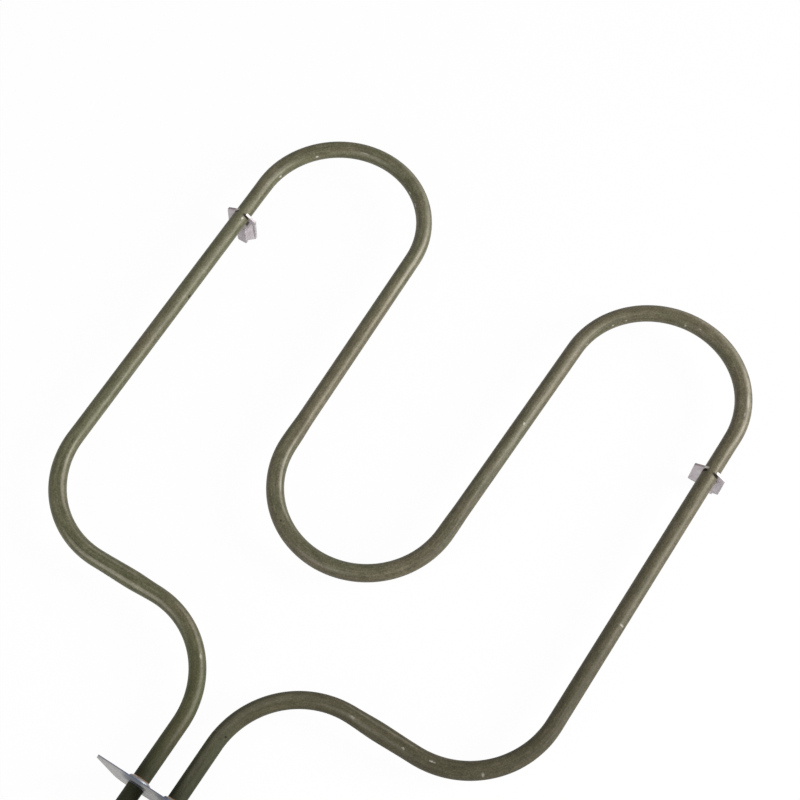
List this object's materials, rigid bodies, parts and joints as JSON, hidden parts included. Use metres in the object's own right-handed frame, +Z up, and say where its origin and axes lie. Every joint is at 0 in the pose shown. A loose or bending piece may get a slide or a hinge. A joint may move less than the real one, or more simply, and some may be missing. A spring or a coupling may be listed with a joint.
{
  "type": "tubular heating element",
  "caption": "Sheathed tubular oven heating element bent to a W, with a tapered wall plate at its leads, blade terminals and sheet support clips.",
  "frame": {"origin": "middle of the wall plate's seat face (the face towards the terminals), on the plane of the rod's centreline", "axes": "+Y from the wall plate into the oven, +X to the right, +Z up, away from the support clips' feet"},
  "size_m": [0.2828, 0.372, 0.0299],
  "materials": {
    "sheath": "dark olive oxide on a nickel-chrome steel tube",
    "magnesia": "packed white magnesium oxide powder, opaque",
    "coil": "nickel-chrome resistance wire",
    "plate": "plain bright steel sheet",
    "pin": "nickel-plated steel",
    "seal": "silicone rubber bush",
    "blade": "nickel-plated steel",
    "braze": "copper brazing metal, heat tinted",
    "clip": "bright steel sheet"
  },
  "bodies": {
    "root": {"sheath": "sheath", "magnesia_insulation": "magnesia", "resistance_coil": "coil", "wall_plate": "plate", "terminal_pin_left": "pin", "end_seal_left": "seal", "spade_terminal_left": "blade", "braze_ring_left": "braze", "support_clip_left": "clip", "terminal_pin_right": "pin", "end_seal_right": "seal", "spade_terminal_right": "blade", "braze_ring_right": "braze", "support_clip_right": "clip"}
  },
  "joints": []
}
